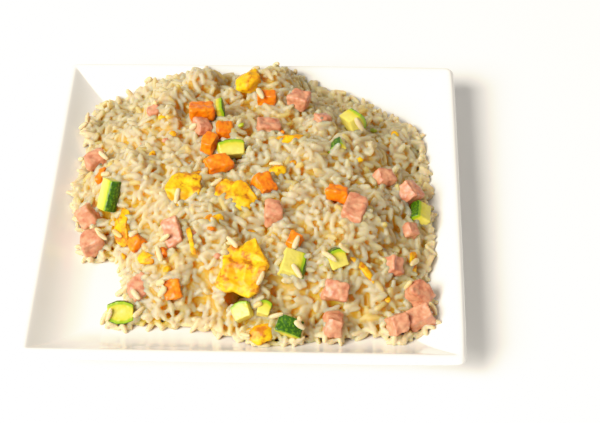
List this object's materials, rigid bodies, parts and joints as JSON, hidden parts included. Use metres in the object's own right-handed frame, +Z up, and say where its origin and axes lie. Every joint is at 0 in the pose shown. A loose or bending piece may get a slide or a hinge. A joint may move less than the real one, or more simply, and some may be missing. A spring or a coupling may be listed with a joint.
{
  "type": "plate of fried rice",
  "caption": "Square white plate heaped with fried rice, diced ham, carrot and courgette and folded pieces of fried egg, a meal to set on a table.",
  "frame": {"origin": "on the table, under the middle of the square plate", "axes": "+Z up, +X to the diner's right, -Y towards the diner; the plate's sides run along X and Y"},
  "size_m": [0.2, 0.2, 0.044],
  "materials": {
    "porcelain": "smooth glossy white glaze, bare on the foot ring's flat",
    "rice": "cooked long-grain rice, cream and slightly glossy with oil",
    "ham": "pink cooked ham, moist, faintly mottled",
    "carrot": "cooked carrot, deep orange, moist",
    "courgette": "pale yellow-green flesh, bright green under a dark green rind",
    "egg": "fried egg, deep yellow, browned in patches"
  },
  "bodies": {
    "root": {"plate": "porcelain", "rice_heap": "rice", "carrot_1": "carrot", "carrot_10": "carrot", "carrot_11": "carrot", "carrot_12": "carrot", "carrot_2": "carrot", "carrot_3": "carrot", "carrot_4": "carrot", "carrot_5": "carrot", "carrot_6": "carrot", "carrot_7": "carrot", "carrot_8": "carrot", "carrot_9": "carrot", "courgette_1": "courgette", "courgette_10": "courgette", "courgette_11": "courgette", "courgette_12": "courgette", "courgette_2": "courgette", "courgette_3": "courgette", "courgette_4": "courgette", "courgette_5": "courgette", "courgette_6": "courgette", "courgette_7": "courgette", "courgette_8": "courgette", "courgette_9": "courgette", "egg_1": "egg", "egg_10": "egg", "egg_11": "egg", "egg_12": "egg", "egg_13": "egg", "egg_2": "egg", "egg_3": "egg", "egg_4": "egg", "egg_5": "egg", "egg_6": "egg", "egg_7": "egg", "egg_8": "egg", "egg_9": "egg", "ham_1": "ham", "ham_10": "ham", "ham_11": "ham", "ham_12": "ham", "ham_13": "ham", "ham_14": "ham", "ham_15": "ham", "ham_16": "ham", "ham_17": "ham", "ham_18": "ham", "ham_19": "ham", "ham_2": "ham", "ham_20": "ham", "ham_21": "ham", "ham_3": "ham", "ham_4": "ham", "ham_5": "ham", "ham_6": "ham", "ham_7": "ham", "ham_8": "ham", "ham_9": "ham"}
  },
  "joints": []
}
